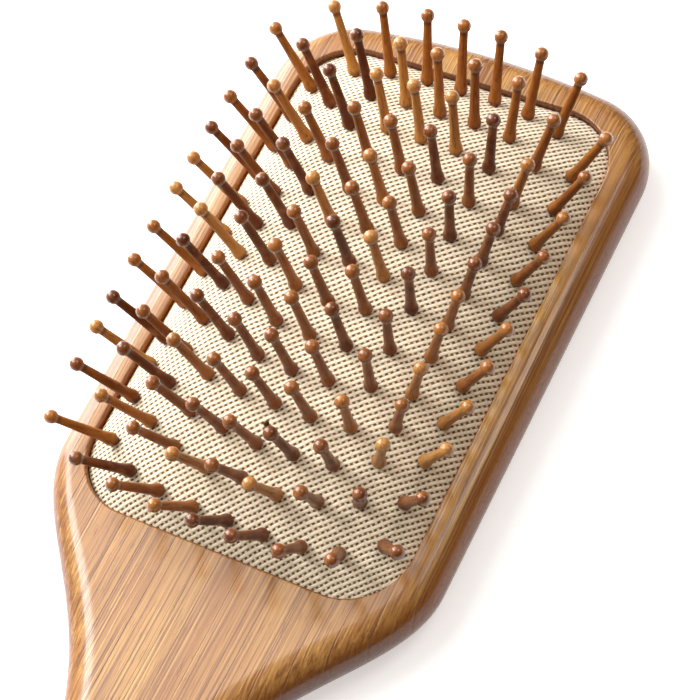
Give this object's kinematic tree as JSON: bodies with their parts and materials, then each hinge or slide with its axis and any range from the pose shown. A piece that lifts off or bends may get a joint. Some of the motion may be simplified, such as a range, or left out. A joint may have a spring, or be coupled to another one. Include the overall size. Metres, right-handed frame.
{
  "type": "paddle brush",
  "caption": "Bamboo paddle hair brush: a wide flat head and handle with a sprung air cushion that carries rows of ball-tipped wooden pins.",
  "frame": {"origin": "under the middle of the brush, on the plane that its back rests on", "axes": "+Y towards the far end of the head, +Z out of the bristle face, +X to the right"},
  "size_m": [0.081, 0.247, 0.0374],
  "materials": {
    "bamboo": "satin lacquered bamboo, grain along the handle",
    "rubber": "matt natural rubber",
    "fabric": "cream woven mesh",
    "pin_wood": "polished turned wood, tones vary from pin to pin"
  },
  "bodies": {
    "paddle": {"bamboo_body": "bamboo"},
    "cushion": {"rubber_cushion": "rubber", "fabric_cover": "fabric"},
    "pins_1_far": {"pin_row1_far": "pin_wood"},
    "pins_1_mid": {"pin_row1_mid": "pin_wood"},
    "pins_1_near": {"pin_row1_near": "pin_wood"},
    "pins_2_far": {"pin_row2_far": "pin_wood"},
    "pins_2_mid": {"pin_row2_mid": "pin_wood"},
    "pins_2_near": {"pin_row2_near": "pin_wood"},
    "pins_3_far": {"pin_row3_far": "pin_wood"},
    "pins_3_mid": {"pin_row3_mid": "pin_wood"},
    "pins_3_near": {"pin_row3_near": "pin_wood"},
    "pins_4_far": {"pin_row4_far": "pin_wood"},
    "pins_4_mid": {"pin_row4_mid": "pin_wood"},
    "pins_4_near": {"pin_row4_near": "pin_wood"},
    "pins_5_far": {"pin_row5_far": "pin_wood"},
    "pins_5_mid": {"pin_row5_mid": "pin_wood"},
    "pins_5_near": {"pin_row5_near": "pin_wood"},
    "pins_6_far": {"pin_row6_far": "pin_wood"},
    "pins_6_mid": {"pin_row6_mid": "pin_wood"},
    "pins_6_near": {"pin_row6_near": "pin_wood"},
    "pins_7_far": {"pin_row7_far": "pin_wood"},
    "pins_7_mid": {"pin_row7_mid": "pin_wood"},
    "pins_7_near": {"pin_row7_near": "pin_wood"},
    "pins_8_far": {"pin_row8_far": "pin_wood"},
    "pins_8_mid": {"pin_row8_mid": "pin_wood"},
    "pins_8_near": {"pin_row8_near": "pin_wood"},
    "pins_9_far": {"pin_row9_far": "pin_wood"},
    "pins_9_mid": {"pin_row9_mid": "pin_wood"},
    "pins_9_near": {"pin_row9_near": "pin_wood"}
  },
  "joints": [
    {"name": "cushion_press", "type": "slide", "parent": "paddle", "child": "cushion", "axis": [0, 0, -1], "range_m": [0, 0.003], "stiffness_N_per_m": 2500, "deforming": ["rubber_cushion", "fabric_cover"]},
    {"name": "row1_far_rock", "type": "hinge", "parent": "cushion", "child": "pins_1_far", "pos_m": [-0.02821, 0.09391, 0.01333], "axis": [0, 0.997, -0.0772], "range_deg": [-12, 12], "stiffness_Nm_per_rad": 0.09},
    {"name": "row1_mid_rock", "type": "hinge", "parent": "cushion", "child": "pins_1_mid", "pos_m": [-0.0282, 0.06057, 0.01408], "axis": [0, 1, 0.0007], "range_deg": [-12, 12], "stiffness_Nm_per_rad": 0.18},
    {"name": "row1_near_rock", "type": "hinge", "parent": "cushion", "child": "pins_1_near", "pos_m": [-0.02821, 0.0274, 0.01328], "axis": [0, 0.9967, 0.0818], "range_deg": [-12, 12], "stiffness_Nm_per_rad": 0.09},
    {"name": "row2_far_rock", "type": "hinge", "parent": "cushion", "child": "pins_2_far", "pos_m": [-0.02169, 0.09817, 0.01502], "axis": [0, 0.9813, -0.1925], "range_deg": [-12, 12], "stiffness_Nm_per_rad": 0.09},
    {"name": "row2_mid_rock", "type": "hinge", "parent": "cushion", "child": "pins_2_mid", "pos_m": [-0.02168, 0.06076, 0.01724], "axis": [0, 1, 0.0005], "range_deg": [-12, 12], "stiffness_Nm_per_rad": 0.21},
    {"name": "row2_near_rock", "type": "hinge", "parent": "cushion", "child": "pins_2_near", "pos_m": [-0.02169, 0.02363, 0.01507], "axis": [0, 0.9809, 0.1944], "range_deg": [-12, 12], "stiffness_Nm_per_rad": 0.09},
    {"name": "row3_far_rock", "type": "hinge", "parent": "cushion", "child": "pins_3_far", "pos_m": [-0.01485, 0.09766, 0.01617], "axis": [0, 0.9722, -0.2343], "range_deg": [-12, 12], "stiffness_Nm_per_rad": 0.12},
    {"name": "row3_mid_rock", "type": "hinge", "parent": "cushion", "child": "pins_3_mid", "pos_m": [-0.01484, 0.0607, 0.01909], "axis": [0, 1, 0.0004], "range_deg": [-12, 12], "stiffness_Nm_per_rad": 0.15},
    {"name": "row3_near_rock", "type": "hinge", "parent": "cushion", "child": "pins_3_near", "pos_m": [-0.01485, 0.02451, 0.01638], "axis": [0, 0.9727, 0.2319], "range_deg": [-12, 12], "stiffness_Nm_per_rad": 0.12},
    {"name": "row4_far_rock", "type": "hinge", "parent": "cushion", "child": "pins_4_far", "pos_m": [-0.00736, 0.09902, 0.01637], "axis": [0, 0.9603, -0.2791], "range_deg": [-12, 12], "stiffness_Nm_per_rad": 0.12},
    {"name": "row4_mid_rock", "type": "hinge", "parent": "cushion", "child": "pins_4_mid", "pos_m": [-0.00736, 0.06098, 0.01981], "axis": [0, 1, 0], "range_deg": [-12, 12], "stiffness_Nm_per_rad": 0.18},
    {"name": "row4_near_rock", "type": "hinge", "parent": "cushion", "child": "pins_4_near", "pos_m": [-0.00736, 0.02352, 0.01664], "axis": [0, 0.9652, 0.2615], "range_deg": [-12, 12], "stiffness_Nm_per_rad": 0.12},
    {"name": "row5_far_rock", "type": "hinge", "parent": "cushion", "child": "pins_5_far", "pos_m": [0, 0.09889, 0.01645], "axis": [0, 0.9605, -0.2783], "range_deg": [-12, 12], "stiffness_Nm_per_rad": 0.12},
    {"name": "row5_mid_rock", "type": "hinge", "parent": "cushion", "child": "pins_5_mid", "pos_m": [0, 0.06082, 0.0199], "axis": [0, 1, 0.0006], "range_deg": [-12, 12], "stiffness_Nm_per_rad": 0.18},
    {"name": "row5_near_rock", "type": "hinge", "parent": "cushion", "child": "pins_5_near", "pos_m": [0, 0.02352, 0.01672], "axis": [0, 0.9645, 0.264], "range_deg": [-12, 12], "stiffness_Nm_per_rad": 0.12},
    {"name": "row6_far_rock", "type": "hinge", "parent": "cushion", "child": "pins_6_far", "pos_m": [0.00736, 0.09902, 0.01637], "axis": [0, 0.9603, -0.2791], "range_deg": [-12, 12], "stiffness_Nm_per_rad": 0.12},
    {"name": "row6_mid_rock", "type": "hinge", "parent": "cushion", "child": "pins_6_mid", "pos_m": [0.00736, 0.06098, 0.01981], "axis": [0, 1, 0], "range_deg": [-12, 12], "stiffness_Nm_per_rad": 0.18},
    {"name": "row6_near_rock", "type": "hinge", "parent": "cushion", "child": "pins_6_near", "pos_m": [0.00736, 0.02352, 0.01664], "axis": [0, 0.9652, 0.2615], "range_deg": [-12, 12], "stiffness_Nm_per_rad": 0.12},
    {"name": "row7_far_rock", "type": "hinge", "parent": "cushion", "child": "pins_7_far", "pos_m": [0.01485, 0.09766, 0.01617], "axis": [0, 0.9722, -0.2343], "range_deg": [-12, 12], "stiffness_Nm_per_rad": 0.12},
    {"name": "row7_mid_rock", "type": "hinge", "parent": "cushion", "child": "pins_7_mid", "pos_m": [0.01484, 0.0607, 0.01909], "axis": [0, 1, 0.0004], "range_deg": [-12, 12], "stiffness_Nm_per_rad": 0.15},
    {"name": "row7_near_rock", "type": "hinge", "parent": "cushion", "child": "pins_7_near", "pos_m": [0.01485, 0.02451, 0.01638], "axis": [0, 0.9727, 0.2319], "range_deg": [-12, 12], "stiffness_Nm_per_rad": 0.12},
    {"name": "row8_far_rock", "type": "hinge", "parent": "cushion", "child": "pins_8_far", "pos_m": [0.02169, 0.09817, 0.01502], "axis": [0, 0.9813, -0.1925], "range_deg": [-12, 12], "stiffness_Nm_per_rad": 0.09},
    {"name": "row8_mid_rock", "type": "hinge", "parent": "cushion", "child": "pins_8_mid", "pos_m": [0.02168, 0.06076, 0.01724], "axis": [0, 1, 0.0005], "range_deg": [-12, 12], "stiffness_Nm_per_rad": 0.21},
    {"name": "row8_near_rock", "type": "hinge", "parent": "cushion", "child": "pins_8_near", "pos_m": [0.02169, 0.02363, 0.01507], "axis": [0, 0.9809, 0.1944], "range_deg": [-12, 12], "stiffness_Nm_per_rad": 0.09},
    {"name": "row9_far_rock", "type": "hinge", "parent": "cushion", "child": "pins_9_far", "pos_m": [0.02821, 0.09163, 0.01348], "axis": [0, 0.9979, -0.064], "range_deg": [-12, 12], "stiffness_Nm_per_rad": 0.09},
    {"name": "row9_mid_rock", "type": "hinge", "parent": "cushion", "child": "pins_9_mid", "pos_m": [0.0282, 0.0597, 0.0141], "axis": [0, 1, 0.0009], "range_deg": [-12, 12], "stiffness_Nm_per_rad": 0.15},
    {"name": "row9_near_rock", "type": "hinge", "parent": "cushion", "child": "pins_9_near", "pos_m": [0.02821, 0.02756, 0.01328], "axis": [0, 0.9969, 0.0792], "range_deg": [-12, 12], "stiffness_Nm_per_rad": 0.09}
  ]
}
